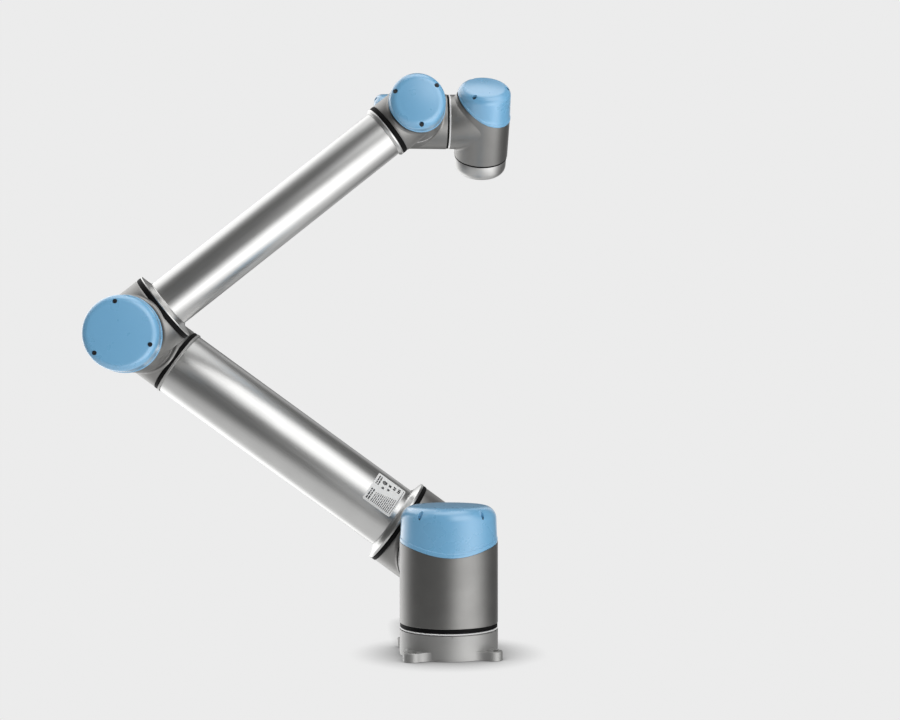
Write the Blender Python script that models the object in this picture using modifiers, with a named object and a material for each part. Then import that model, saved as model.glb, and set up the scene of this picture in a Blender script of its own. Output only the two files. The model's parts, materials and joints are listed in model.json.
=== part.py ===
"""Six-axis collaborative robot arm, built as separate pieces.

Every joint is a T-shaped module: a round casting on the joint's axis, closed by
a cap at one end and turning against its neighbour at the other, with a branch at
right angles that carries the next link. Units are metres and +Z is up. The origin
is the centre of the mounting face, and +Y is the direction of the shoulder axis.
"""

import math
from dataclasses import dataclass

import bmesh
import bpy
from mathutils import Matrix, Vector

GAP = 0.0003                     # clearance between pieces that touch
FACET_GAP = 0.0008               # the same, between facets that don't line up

# Distances between joint axes
SHOULDER_HEIGHT = 0.1273
UPPER_ARM_LENGTH = 0.612
FOREARM_LENGTH = 0.5723
WRIST_3_OFFSET = 0.1157          # from the wrist 1 axis to the wrist 3 axis
SHOULDER_PLANE = 0.2209          # y of the upper arm
FOREARM_PLANE = 0.0490           # y of the forearm
WRIST_2_PLANE = 0.1639           # y of the wrist 2 axis
TOOL_FACE = 0.0905               # from the wrist 3 centre to the tool face

# Rest pose
UPPER_ARM_RISE = math.radians(36.19)
FOREARM_RISE = math.radians(38.86)
TOOL_TILT = math.radians(38.0)

# Mounting bracket
BRACKET_RADIUS = 0.0755
BRACKET_TOP = 0.0409
BRACKET_FLOOR = 0.006
BRACKET_BORE = 0.0685
BRACKET_CHAMFER = 0.0015
FOOT_THICKNESS = 0.013
FOOT_RADIUS = 0.0750             # foot plate between the lugs, just inside the wall
LUG_CIRCLE = 0.086               # radius of the bolt circle
LUG_RADIUS = 0.014
LUG_FILLET = 0.024
LUG_TURN = math.radians(2.0)     # the lugs are 2 degrees off the diagonals
BOLT_HOLE_RADIUS = 0.00425
COUNTERBORE_RADIUS = 0.0072
COUNTERBORE_DEPTH = 0.003

# Cable gland in the bracket's wall
GLAND_HEIGHT = 0.0210
GLAND_RADIUS = 0.008             # thread
GLAND_NUT = 0.0115
GLAND_BODY = 0.009
GLAND_END = 0.0055
GLAND_LENGTH = 0.018

# Arm tubes
UPPER_TUBE_RADIUS = 0.05525
UPPER_TUBE_WALL = 0.0035
FORE_TUBE_RADIUS = 0.0388
FORE_TUBE_WALL = 0.003
TUBE_SEGMENTS = 28

# Ends of the upper arm, from the shoulder axis to the elbow axis
SHOULDER_BRANCH_END = 0.082
SHOULDER_GASKET = 0.007
LOWER_FLARE_LENGTH = 0.0120
ELBOW_COLLAR_LENGTH = 0.0040
ELBOW_COLLAR_RADIUS = 0.0572
ELBOW_GASKET = 0.0065
ELBOW_BRANCH_END = 0.0602

# Ends of the forearm, from the elbow axis to the wrist 1 axis
FOREARM_BRANCH_END = 0.062
FOREARM_GASKET = 0.0074
FORE_FLARE_LENGTH = 0.0080
WRIST_FLARE_LENGTH = 0.0065
WRIST_FLARE_RADIUS = 0.0432
WRIST_GASKET = 0.0074
WRIST_BRANCH_END = 0.0523

# Tool flange
TOOL_RADIUS = 0.0435
TOOL_FACE_RADIUS = 0.0315
TOOL_SHAFT = 0.006
TOOL_BAND = 0.014                # straight part of its side
CENTRING_RADIUS = 0.01575
CENTRING_DEPTH = 0.006
TOOL_BOLT_CIRCLE = 0.025
TOOL_BOLT_RADIUS = 0.0025
TOOL_BOLT_DEPTH = 0.010
CONNECTOR_HEIGHT = -0.0715
CONNECTOR_RADIUS = 0.0055
CONNECTOR_SOCKET = 0.0036
CONNECTOR_FLOOR = 0.034

# Pieces inside a module
INNER_SEGMENTS = 12
HOLLOW_SHAFT = 0.16              # bore of the drive, as a share of the casting's radius
NECK = 0.60                      # neck of the output flange, as a share of that radius
BRAKE = 0.75                     # brake at the motor's end, as a share of the motor's radius
BOARD_THICKNESS = 0.0016
CAP_SKIN = 0.003
CASTING_CHAMFER = 0.001
OVERCUT = 0.002                  # how far a cutter stands proud of what it cuts


@dataclass(frozen=True)
class Size:
    """One size of joint module. Heights are measured along the joint's axis."""

    radius: float                # casting
    lid_radius: float
    wall: float
    reach: float                 # from the T's centre to the turning face
    seal: float                  # width of the black ring at the turning face
    end_wall: float
    lid_top: float               # edge of the cap's top
    dome: float                  # rise of the cap's top above its edge
    corner: float                # rounding of the cap's edge
    taper: float                 # how much the cap narrows towards its top
    rim: tuple                   # the cap's lower edge: opposite, between, side, branch
    gear: float
    motor: float
    disc: float                  # thickness of the output flange's disc
    segments: int


LARGE = Size(radius=0.0755, lid_radius=0.0755, wall=0.0045, reach=0.0861, seal=0.0063,
             end_wall=0.008, lid_top=0.0985, dome=0.0016, corner=0.0200, taper=0.0022,
             rim=(0.0256, 0.0375, 0.0444, 0.0785), gear=0.024, motor=0.034, disc=0.008,
             segments=32)
MEDIUM = Size(radius=0.0583, lid_radius=0.0595, wall=0.0042, reach=0.08595, seal=0.0037,
              end_wall=0.008, lid_top=0.0900, dome=0.0020, corner=0.0120, taper=0.0020,
              rim=(0.0240, 0.0310, 0.0385, 0.0625), gear=0.024, motor=0.036, disc=0.008,
              segments=28)
SMALL = Size(radius=0.0450, lid_radius=0.0455, wall=0.0040, reach=0.05745, seal=0.0024,
             end_wall=0.006, lid_top=0.0650, dome=0.0020, corner=0.0140, taper=0.0018,
             rim=(0.0082, 0.0093, 0.0182, 0.0505), gear=0.018, motor=0.024, disc=0.006,
             segments=24)
TOOL_REACH = 0.0622              # wrist 3 turns a little further out than the other wrists
RIM_STATIONS = (1.0, 0.6, 0.0, -1.0)

# Colours as linear RGB, roughness, metallic
FINISHES = {
    "cap": ((0.175, 0.400, 0.600), 0.45, 0.0),
    "casting": ((0.210, 0.210, 0.205), 0.42, 0.85),
    "tube": ((0.560, 0.560, 0.555), 0.30, 0.95),
    "machined": ((0.500, 0.500, 0.490), 0.32, 0.95),
    "rubber": ((0.012, 0.012, 0.012), 0.60, 0.0),
    "steel": ((0.420, 0.420, 0.430), 0.35, 1.0),
    "copper": ((0.450, 0.200, 0.100), 0.40, 0.8),
    "board": ((0.020, 0.120, 0.045), 0.55, 0.0),
    "plastic": ((0.030, 0.030, 0.032), 0.50, 0.0),
}


# ---------------------------------------------------------------- scene and objects

def new_collection(name):
    collection = bpy.data.collections.new(name)
    bpy.context.scene.collection.children.link(collection)
    return collection


def clear_scene():
    for item in list(bpy.data.objects):
        bpy.data.objects.remove(item, do_unlink=True)


def make_material(name, finish):
    colour, roughness, metallic = FINISHES[finish]
    material = bpy.data.materials.new(name)
    material.use_nodes = True
    shader = material.node_tree.nodes["Principled BSDF"]
    shader.inputs["Base Color"].default_value = (*colour, 1.0)
    shader.inputs["Roughness"].default_value = roughness
    shader.inputs["Metallic"].default_value = metallic
    return material


def make_joint(name, place, parent):
    """An empty on a joint's axis, which carries the pieces that turn with it."""
    joint = bpy.data.objects.new(name, None)
    joint.empty_display_size = 0.05
    PARTS.objects.link(joint)
    attach(joint, parent, Matrix.Translation(place))
    JOINT_PLACES[joint.name] = Matrix.Translation(place)
    return joint


def attach(item, parent, world):
    """Parents an item and puts it at a world matrix."""
    if parent is not None:
        item.parent = parent
        item.matrix_parent_inverse = JOINT_PLACES[parent.name].inverted()
    item.matrix_basis = world


def make_node(name, mesh, finish, parent, world):
    """One named piece with a material of its own."""
    mesh.materials.append(make_material(name, finish))
    node = bpy.data.objects.new(name, mesh)
    PARTS.objects.link(node)
    attach(node, parent, world)
    return node


def make_cutter(name, mesh, parent, world):
    """A hidden helper that a Boolean modifier reads."""
    cutter = bpy.data.objects.new(name, mesh)
    cutter.hide_render = True
    cutter.display_type = "WIRE"
    CUTTERS.objects.link(cutter)
    attach(cutter, parent, world)
    return cutter


def add_boolean(node, cutter, operation):
    modifier = node.modifiers.new(cutter.name, "BOOLEAN")
    modifier.operation = operation
    modifier.object = cutter
    modifier.solver = "EXACT"


def add_weld(node):
    """Joins the nearly coincident corners that several cuts in a row leave behind."""
    weld = node.modifiers.new("weld", "WELD")
    weld.merge_threshold = 0.00002


# ---------------------------------------------------------------- shapes

def profile_mesh(name, points, closed):
    """The outline of a turned shape, as (radius, height) pairs in the XZ plane."""
    mesh = bpy.data.meshes.new(name)
    edges = [(i, i + 1) for i in range(len(points) - 1)]
    if closed:
        edges.append((len(points) - 1, 0))
    mesh.from_pydata([(radius, 0.0, height) for radius, height in points], edges, [])
    return mesh


def add_screw(item, segments):
    screw = item.modifiers.new("turned", "SCREW")
    screw.angle = math.tau
    screw.steps = segments
    screw.render_steps = segments
    screw.use_merge_vertices = True
    screw.merge_threshold = 0.00001
    screw.use_smooth_shade = True


def turned_node(name, points, closed, segments, finish, parent, world):
    node = make_node(name, profile_mesh(name, points, closed), finish, parent, world)
    add_screw(node, segments)
    return node


def turned_cutter(name, points, segments, parent, world):
    cutter = make_cutter(name, profile_mesh(name, points, False), parent, world)
    add_screw(cutter, segments)
    return cutter


def solid_outline(radius, low, high):
    """Profile of a plain cylinder that reaches the axis."""
    return [(0.0, high), (radius, high), (radius, low), (0.0, low)]


def ring_outline(inner, outer, low, high):
    """Profile of a plain ring."""
    return [(outer, high), (outer, low), (inner, low), (inner, high)]


def extruded_mesh(name, outline, low, high):
    """A flat closed outline in the XY plane, as a solid between two heights."""
    curve = bpy.data.curves.new(name, "CURVE")
    curve.dimensions = "2D"
    curve.fill_mode = "BOTH"
    curve.extrude = (high - low) / 2
    spline = curve.splines.new("POLY")
    spline.points.add(len(outline) - 1)
    for point, (x, y) in zip(spline.points, outline):
        point.co = (x, y, 0.0, 1.0)
    spline.use_cyclic_u = True
    source = bpy.data.objects.new(name, curve)
    bpy.context.scene.collection.objects.link(source)
    bpy.context.view_layer.update()
    evaluated = source.evaluated_get(bpy.context.evaluated_depsgraph_get())
    mesh = bpy.data.meshes.new_from_object(evaluated)
    bpy.data.objects.remove(source, do_unlink=True)
    bpy.data.curves.remove(curve)
    shape = bmesh.new()
    shape.from_mesh(mesh)
    bmesh.ops.translate(shape, vec=(0.0, 0.0, (high + low) / 2), verts=shape.verts)
    bmesh.ops.remove_doubles(shape, verts=shape.verts, dist=0.00001)
    bmesh.ops.recalc_face_normals(shape, faces=shape.faces)
    shape.to_mesh(mesh)
    shape.free()
    return mesh


def arc(centre, radius, start, end, steps):
    """Points of an arc, ends included."""
    return [(centre[0] + radius * math.cos(start + (end - start) * i / steps),
             centre[1] + radius * math.sin(start + (end - start) * i / steps))
            for i in range(steps + 1)]


def frame(origin, z_axis, x_axis):
    """World matrix of a local frame."""
    z = Vector(z_axis).normalized()
    x = Vector(x_axis).normalized()
    y = z.cross(x)
    matrix = Matrix((x, y, z)).transposed().to_4x4()
    matrix.translation = Vector(origin)
    return matrix


# ---------------------------------------------------------------- joint modules

@dataclass(frozen=True)
class Module:
    """A T-shaped joint module and where it sits."""

    name: str
    size: Size
    origin: Vector               # where the branch meets the joint's axis
    towards_lid: Vector
    towards_branch: Vector
    branch_radius: float
    branch_end: float
    reach: float
    driven: bool = True

    @property
    def world(self):
        return frame(self.origin, self.towards_lid, -self.towards_branch)

    @property
    def branch_world(self):
        """Frame along the branch, half a facet round from the casting's own facets."""
        half_facet = Matrix.Rotation(math.pi / self.size.segments, 4, "Z")
        return frame(self.origin, self.towards_branch, self.towards_lid) @ half_facet

    @property
    def end(self):
        """Distance from the centre to the casting's turning end."""
        if not self.driven:
            return self.reach - GAP
        return self.reach - self.size.seal - GAP


def rim_height(size, x):
    """Height of the cap's lower edge, a cubic through the four heights of size.rim."""
    share = x / size.radius
    height = 0.0
    for i, station in enumerate(RIM_STATIONS):
        weight = 1.0
        for j, other in enumerate(RIM_STATIONS):
            if j != i:
                weight *= (share - other) / (station - other)
        height += weight * size.rim[i]
    return height


def rim_block(name, size, lift, far, parent, world):
    """A block bounded by the cap's lower edge on one side and a plane at far."""
    span = 1.06 * size.lid_radius
    steps = 12
    stations = [span * (2 * i / steps - 1) for i in range(steps + 1)]
    edge = [(x, rim_height(size, x) + lift) for x in stations]
    outline = edge + [(span, far), (-span, far)]
    mesh = extruded_mesh(name, outline, -1.2 * size.radius, 1.2 * size.radius)
    upright = world @ Matrix.Rotation(math.pi / 2, 4, "X")
    return make_cutter(name, mesh, parent, upright)


def make_housing(module, parent):
    size = module.size
    world = module.world
    top = max(size.rim) + OVERCUT
    low = -module.end
    outline = [(0.0, top), (size.radius, top), (size.radius, low + CASTING_CHAMFER),
               (size.radius - CASTING_CHAMFER, low), (0.0, low)]
    node = turned_node(f"{module.name}_housing", outline, False, size.segments,
                       "casting", parent, world)
    above = rim_block(f"{module.name}_above_rim", size, 0.0, 1.5 * size.lid_top,
                      parent, world)
    add_boolean(node, above, "DIFFERENCE")
    branch = turned_cutter(f"{module.name}_branch",
                           solid_outline(module.branch_radius, 0.0, module.branch_end),
                           size.segments, parent, module.branch_world)
    add_boolean(node, branch, "UNION")
    bore = size.radius - size.wall
    if module.driven:
        neck = NECK * size.radius + FACET_GAP
        inside = low + size.end_wall
        outline = [(0.0, top + OVERCUT), (bore, top + OVERCUT), (bore, inside),
                   (neck, inside), (neck, low - OVERCUT), (0.0, low - OVERCUT)]
    else:
        outline = solid_outline(bore, low - OVERCUT, top + OVERCUT)
    main_bore = turned_cutter(f"{module.name}_bore", outline, size.segments, parent, world)
    add_boolean(node, main_bore, "DIFFERENCE")
    outline = solid_outline(module.branch_radius - size.wall, 0.001,
                            module.branch_end + OVERCUT)
    branch_bore = turned_cutter(f"{module.name}_branch_bore", outline, size.segments,
                                parent, module.branch_world)
    add_boolean(node, branch_bore, "DIFFERENCE")
    add_weld(node)
    return node


def lid_outline(size, low):
    """Profile of a cap: crowned top, rounded edge, tapered side, hollow below."""
    upper = size.lid_radius - size.taper
    centre = (upper - size.corner, size.lid_top - size.corner)
    outer = [(0.0, size.lid_top + size.dome)] + arc(centre, size.corner, math.pi / 2, 0.0, 5)
    outer.append((size.lid_radius, low))
    inner = [(size.lid_radius - CAP_SKIN, low), (upper - CAP_SKIN, centre[1])]
    inner += arc(centre, size.corner - CAP_SKIN, 0.0, math.pi / 2, 2)[1:]
    inner.append((0.0, size.lid_top + size.dome - CAP_SKIN))
    return outer + inner


def make_lid(module, parent):
    size = module.size
    low = min(size.rim) - 2 * OVERCUT
    node = turned_node(f"{module.name}_lid", lid_outline(size, low), False, size.segments,
                       "cap", parent, module.world)
    below = rim_block(f"{module.name}_below_rim", size, GAP, low - 4 * OVERCUT,
                      parent, module.world)
    add_boolean(node, below, "DIFFERENCE")
    add_weld(node)
    return node


def make_drive(module, parent):
    """Seal ring, gear unit, motor and control board of a driven module."""
    size = module.size
    bore = size.radius - size.wall
    shaft = HOLLOW_SHAFT * size.radius
    low = -module.end
    turned_node(f"{module.name}_seal_ring",
                ring_outline(NECK * size.radius + 0.0012, size.radius - 0.0008,
                             -module.reach, -module.reach + size.seal),
                True, size.segments, "rubber", parent, module.world)
    gear_low = low + size.end_wall + 0.0015
    gear_high = gear_low + size.gear
    turned_node(f"{module.name}_gear_unit",
                ring_outline(shaft, bore - 0.0005, gear_low, gear_high),
                True, INNER_SEGMENTS, "steel", parent, module.world)
    motor_low = gear_high + 0.0005
    motor_high = motor_low + size.motor
    outer = bore - 0.004
    stator_high = motor_low + 0.7 * size.motor
    outline = [(BRAKE * outer, motor_high), (BRAKE * outer, stator_high),
               (outer, stator_high), (outer, motor_low),
               (shaft, motor_low), (shaft, motor_high)]
    turned_node(f"{module.name}_motor", outline, True, INNER_SEGMENTS, "copper",
                parent, module.world)
    board_low = motor_high + 0.002
    turned_node(f"{module.name}_control_board",
                ring_outline(shaft, 0.84 * bore, board_low, board_low + BOARD_THICKNESS),
                True, INNER_SEGMENTS, "board", parent, module.world)


def make_output_flange(module, seat_radius, parent):
    """Disc that closes the neighbour's open end, with a neck into the module."""
    size = module.size
    seat = -(module.reach + GAP)
    neck = NECK * size.radius
    shaft = HOLLOW_SHAFT * size.radius
    neck_top = -module.end + size.end_wall
    rim = seat_radius - FACET_GAP
    outline = [(neck, neck_top), (neck, seat), (rim, seat), (rim, seat - size.disc),
               (shaft, seat - size.disc), (shaft, neck_top)]
    return turned_node(f"{module.name}_output_flange", outline, True, 2 * INNER_SEGMENTS,
                       "machined", parent, module.world)


# ---------------------------------------------------------------- base bracket

def lug_outline():
    """Foot plate: a disc with four lugs, joined to it by concave fillets."""
    fillet_reach = FOOT_RADIUS + LUG_FILLET
    lug_reach = LUG_RADIUS + LUG_FILLET
    half = math.acos((fillet_reach ** 2 + LUG_CIRCLE ** 2 - lug_reach ** 2)
                     / (2 * fillet_reach * LUG_CIRCLE))
    points = []
    for i in range(4):
        turn = LUG_TURN + math.radians(45) + i * math.pi / 2
        lug = (LUG_CIRCLE * math.cos(turn), LUG_CIRCLE * math.sin(turn))
        for side in (-1, 1):
            angle = turn + side * half
            centre = (fillet_reach * math.cos(angle), fillet_reach * math.sin(angle))
            inward = angle + math.pi
            to_lug = math.atan2(lug[1] - centre[1], lug[0] - centre[0])
            sweep = (to_lug - inward + math.pi) % math.tau - math.pi
            start, end = (inward, inward + sweep) if side < 0 else (inward + sweep, inward)
            points += arc(centre, LUG_FILLET, start, end, 3)
            if side < 0:
                from_lug = to_lug + math.pi
                opening = (turn - from_lug + math.pi) % math.tau - math.pi
                points += arc(lug, LUG_RADIUS, from_lug, from_lug + 2 * opening, 6)[1:-1]
        between = arc((0.0, 0.0), FOOT_RADIUS, turn + half, turn + math.pi / 2 - half, 5)
        points += between[1:-1]
    return points


def make_bracket(parent):
    world = Matrix.Identity(4)
    foot = extruded_mesh("base_bracket", lug_outline(), 0.0, FOOT_THICKNESS)
    node = make_node("base_bracket", foot, "machined", parent, world)
    wall = [(0.0, BRACKET_TOP), (BRACKET_RADIUS - BRACKET_CHAMFER, BRACKET_TOP),
            (BRACKET_RADIUS, BRACKET_TOP - BRACKET_CHAMFER), (BRACKET_RADIUS, 0.003),
            (0.0, 0.003)]
    add_boolean(node, turned_cutter("bracket_wall", wall, LARGE.segments, parent, world),
                "UNION")
    bore = solid_outline(BRACKET_BORE, BRACKET_FLOOR, BRACKET_TOP + OVERCUT)
    add_boolean(node, turned_cutter("bracket_bore", bore, LARGE.segments, parent, world),
                "DIFFERENCE")
    seat = FOOT_THICKNESS - COUNTERBORE_DEPTH
    hole = [(0.0, FOOT_THICKNESS + OVERCUT), (COUNTERBORE_RADIUS, FOOT_THICKNESS + OVERCUT),
            (COUNTERBORE_RADIUS, seat), (BOLT_HOLE_RADIUS, seat),
            (BOLT_HOLE_RADIUS, -OVERCUT), (0.0, -OVERCUT)]
    for i in range(4):
        turn = LUG_TURN + math.radians(45) + i * math.pi / 2
        place = Matrix.Translation((LUG_CIRCLE * math.cos(turn),
                                    LUG_CIRCLE * math.sin(turn), 0.0))
        cutter = turned_cutter(f"bolt_hole_{i + 1}", hole, INNER_SEGMENTS, parent, place)
        add_boolean(node, cutter, "DIFFERENCE")
    entry = frame((0.0, 0.0, GLAND_HEIGHT), (0.0, 1.0, 0.0), (1.0, 0.0, 0.0))
    cable_hole = solid_outline(GLAND_RADIUS + GAP, BRACKET_BORE - 2 * OVERCUT,
                               BRACKET_RADIUS + OVERCUT)
    add_boolean(node, turned_cutter("cable_hole", cable_hole, INNER_SEGMENTS, parent, entry),
                "DIFFERENCE")
    return entry


def make_gland(parent, entry):
    """Blank cable gland in the bracket's wall, behind the arm."""
    face = BRACKET_RADIUS + 2 * GAP
    tip = face + GLAND_LENGTH
    nut_end = face + 0.007
    inside = BRACKET_BORE - OVERCUT
    outline = [(0.0, tip), (GLAND_END, tip), (GLAND_BODY, tip - 0.004),
               (GLAND_BODY, nut_end), (GLAND_NUT, nut_end), (GLAND_NUT, face),
               (GLAND_RADIUS, face), (GLAND_RADIUS, inside), (0.0, inside)]
    turned_node("base_cable_gland", outline, False, INNER_SEGMENTS, "plastic", parent, entry)


# ---------------------------------------------------------------- arm links

def flare_outline(start, length, lip, wide, narrow, inner):
    """Collar that narrows from a casting's radius to a tube's, with a concave side."""
    steps = 4
    side = []
    for i in range(steps + 1):
        share = i / steps
        radius = narrow + (wide - narrow) * (1.0 - math.sin(share * math.pi / 2))
        side.append((radius, start + lip + (length - lip) * share))
    outer = [(wide, start)] + side
    return list(reversed(outer)) + [(inner, start), (inner, start + length)]


def make_upper_arm(parent, along):
    first = SHOULDER_BRANCH_END + GAP
    start = first + SHOULDER_GASKET + GAP
    turned_node("upper_arm_shoulder_gasket",
                ring_outline(0.050, 0.0745, first, first + SHOULDER_GASKET),
                True, TUBE_SEGMENTS, "rubber", parent, along)
    bore = UPPER_TUBE_RADIUS + GAP
    turned_node("upper_arm_shoulder_flare",
                flare_outline(start, LOWER_FLARE_LENGTH, 0.004, 0.0750, 0.0563, bore),
                True, TUBE_SEGMENTS, "tube", parent, along)
    end = UPPER_ARM_LENGTH - ELBOW_BRANCH_END - GAP - ELBOW_GASKET - GAP
    turned_node("upper_arm_tube",
                ring_outline(UPPER_TUBE_RADIUS - UPPER_TUBE_WALL, UPPER_TUBE_RADIUS,
                             start, end),
                True, TUBE_SEGMENTS, "tube", parent, along)
    turned_node("upper_arm_elbow_collar",
                ring_outline(bore, ELBOW_COLLAR_RADIUS, end - ELBOW_COLLAR_LENGTH, end),
                True, TUBE_SEGMENTS, "machined", parent, along)
    turned_node("upper_arm_elbow_gasket",
                ring_outline(0.046, 0.0562, end + GAP, end + GAP + ELBOW_GASKET),
                True, TUBE_SEGMENTS, "rubber", parent, along)


def make_forearm(parent, along):
    first = FOREARM_BRANCH_END + GAP
    start = first + FOREARM_GASKET + GAP
    bore = FORE_TUBE_RADIUS + GAP
    turned_node("forearm_elbow_gasket",
                ring_outline(0.034, 0.0574, first, first + FOREARM_GASKET),
                True, TUBE_SEGMENTS, "rubber", parent, along)
    turned_node("forearm_elbow_flare",
                flare_outline(start, FORE_FLARE_LENGTH, 0.002, 0.0578, 0.0398, bore),
                True, TUBE_SEGMENTS, "tube", parent, along)
    end = FOREARM_LENGTH - WRIST_BRANCH_END - GAP - WRIST_GASKET - GAP
    turned_node("forearm_tube",
                ring_outline(FORE_TUBE_RADIUS - FORE_TUBE_WALL, FORE_TUBE_RADIUS, start, end),
                True, TUBE_SEGMENTS, "tube", parent, along)
    low = end - WRIST_FLARE_LENGTH
    collar = [(WRIST_FLARE_RADIUS, end), (WRIST_FLARE_RADIUS, end - 0.003), (0.0400, low),
              (bore, low), (bore, end)]
    turned_node("forearm_wrist_flare", collar, True, TUBE_SEGMENTS, "tube", parent, along)
    turned_node("forearm_wrist_gasket",
                ring_outline(0.030, 0.0430, end + GAP, end + GAP + WRIST_GASKET),
                True, TUBE_SEGMENTS, "rubber", parent, along)


# ---------------------------------------------------------------- tool flange

def make_tool_flange(module, parent):
    size = module.size
    neck = NECK * size.radius
    inset = TOOL_FACE_RADIUS + 0.002
    top = -(module.reach + GAP)
    neck_top = -module.end + size.end_wall
    face = -TOOL_FACE
    knee = top - TOOL_BAND
    side = [(inset + (TOOL_RADIUS - inset) * x, knee + (knee - face - 0.001) * z)
            for x, z in arc((0.0, 0.0), 1.0, 0.0, -math.pi / 2, 3)]
    outline = [(neck, neck_top), (neck, top), (TOOL_RADIUS - 0.001, top),
               (TOOL_RADIUS, top - 0.001)] + side
    outline += [(TOOL_FACE_RADIUS, face), (CENTRING_RADIUS, face),
                (CENTRING_RADIUS, face + CENTRING_DEPTH),
                (TOOL_SHAFT, face + CENTRING_DEPTH), (TOOL_SHAFT, neck_top)]
    node = turned_node("tool_flange", outline, True, size.segments, "machined", parent,
                       module.world)
    hole = solid_outline(TOOL_BOLT_RADIUS, face - OVERCUT, face + TOOL_BOLT_DEPTH)
    for i in range(4):
        turn = math.radians(45) + i * math.pi / 2
        place = Matrix.Translation((TOOL_BOLT_CIRCLE * math.cos(turn),
                                    TOOL_BOLT_CIRCLE * math.sin(turn), 0.0))
        cutter = turned_cutter(f"tool_hole_{i + 1}", hole, 8, parent, module.world @ place)
        add_boolean(node, cutter, "DIFFERENCE")
    socket = frame(module.world @ Vector((0.0, 0.0, CONNECTOR_HEIGHT)),
                   module.world.to_3x3() @ Vector((0.0, 1.0, 0.0)),
                   module.world.to_3x3() @ Vector((1.0, 0.0, 0.0)))
    pocket = solid_outline(CONNECTOR_RADIUS + GAP, CONNECTOR_FLOOR, TOOL_RADIUS + 2 * OVERCUT)
    add_boolean(node, turned_cutter("connector_pocket", pocket, INNER_SEGMENTS, parent, socket),
                "DIFFERENCE")
    low = CONNECTOR_FLOOR + GAP
    middle = CONNECTOR_FLOOR + 0.0055
    tip = CONNECTOR_FLOOR + 0.0115
    plug = [(0.0, middle), (CONNECTOR_SOCKET, middle), (CONNECTOR_SOCKET, tip),
            (CONNECTOR_RADIUS, tip), (CONNECTOR_RADIUS, low), (0.0, low)]
    turned_node("tool_connector", plug, False, INNER_SEGMENTS, "plastic", parent, socket)


# ---------------------------------------------------------------- assembly

def make_module(module, parent):
    make_housing(module, parent)
    make_lid(module, parent)
    if module.driven:
        make_drive(module, parent)


def build():
    left_up = Vector((-math.cos(UPPER_ARM_RISE), 0.0, math.sin(UPPER_ARM_RISE)))
    right_up = Vector((math.cos(FOREARM_RISE), 0.0, math.sin(FOREARM_RISE)))
    tool = Vector((0.0, math.sin(TOOL_TILT), -math.cos(TOOL_TILT)))
    up = Vector((0.0, 0.0, 1.0))
    back = Vector((0.0, 1.0, 0.0))
    right = Vector((1.0, 0.0, 0.0))

    shoulder = Vector((0.0, SHOULDER_PLANE, SHOULDER_HEIGHT))
    elbow = shoulder + left_up * UPPER_ARM_LENGTH
    fore_elbow = Vector((elbow.x, FOREARM_PLANE, elbow.z))
    wrist_1 = fore_elbow + right_up * FOREARM_LENGTH
    wrist_2 = Vector((wrist_1.x, WRIST_2_PLANE, wrist_1.z))
    wrist_3 = wrist_2 + right * WRIST_3_OFFSET

    root = make_joint("base", (0.0, 0.0, 0.0), None)
    turn_base = make_joint("base_joint", (0.0, 0.0, 0.0), root)
    turn_shoulder = make_joint("shoulder_joint", shoulder, turn_base)
    turn_elbow = make_joint("elbow_joint", elbow, turn_shoulder)
    turn_wrist_1 = make_joint("wrist_1_joint", wrist_1, turn_elbow)
    turn_wrist_2 = make_joint("wrist_2_joint", wrist_2, turn_wrist_1)
    turn_wrist_3 = make_joint("wrist_3_joint", wrist_3, turn_wrist_2)

    base_module = Module("base", LARGE, Vector((0.0, 0.0, SHOULDER_HEIGHT)), up, back,
                         0.0738, SHOULDER_PLANE - LARGE.reach - GAP, LARGE.reach)
    shoulder_module = Module("shoulder", LARGE, shoulder, back, left_up, 0.0738,
                             SHOULDER_BRANCH_END, LARGE.reach)
    elbow_module = Module("elbow", MEDIUM, elbow, back, -left_up, 0.0560,
                          ELBOW_BRANCH_END, MEDIUM.reach)
    plain_elbow = Module("forearm_elbow", MEDIUM, fore_elbow, -back, right_up, 0.0576,
                         FOREARM_BRANCH_END, MEDIUM.reach, driven=False)
    module_1 = Module("wrist_1", SMALL, wrist_1, -back, -right_up, 0.0432,
                      WRIST_BRANCH_END, SMALL.reach)
    module_2 = Module("wrist_2", SMALL, wrist_2, -right, -back, 0.0446,
                      SMALL.reach - GAP, WRIST_3_OFFSET / 2)
    module_3 = Module("wrist_3", SMALL, wrist_3, -tool, -right, 0.0446,
                      WRIST_3_OFFSET / 2 - GAP, TOOL_REACH)

    entry = make_bracket(root)
    make_gland(root, entry)
    make_output_flange(base_module, BRACKET_BORE, root)

    make_module(base_module, turn_base)
    make_output_flange(shoulder_module, base_module.branch_radius - LARGE.wall, turn_base)

    make_module(shoulder_module, turn_shoulder)
    make_upper_arm(turn_shoulder, frame(shoulder, left_up, back))
    make_module(elbow_module, turn_shoulder)

    make_output_flange(elbow_module, MEDIUM.radius - MEDIUM.wall, turn_elbow)
    make_module(plain_elbow, turn_elbow)
    make_forearm(turn_elbow, frame(fore_elbow, right_up, back))
    make_module(module_1, turn_elbow)

    make_output_flange(module_1, module_2.branch_radius - SMALL.wall, turn_wrist_1)
    make_module(module_2, turn_wrist_1)

    make_output_flange(module_2, module_3.branch_radius - SMALL.wall, turn_wrist_2)
    make_module(module_3, turn_wrist_2)

    make_tool_flange(module_3, turn_wrist_3)


clear_scene()
PARTS = new_collection("collaborative_robot_arm")
CUTTERS = new_collection("cutters")
JOINT_PLACES = {}
build()
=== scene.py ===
"""Looks of a six-axis collaborative robot arm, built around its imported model.

Every piece that shows is made again here as a fine surface, in the same place as
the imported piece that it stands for. The drives inside the modules stay as packed
and only get a finish. Units are metres, +Z is up and the arm stands on the origin.

Every joint is a T-shaped module with its own frame: +Z points to the cap, the
branch that carries the next link points to -X, and the module turns about Z.
"""

import json
from dataclasses import dataclass
from math import acos, asin, atan2, ceil, cos, pi, radians, sin, sqrt, tan, tau

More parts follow.
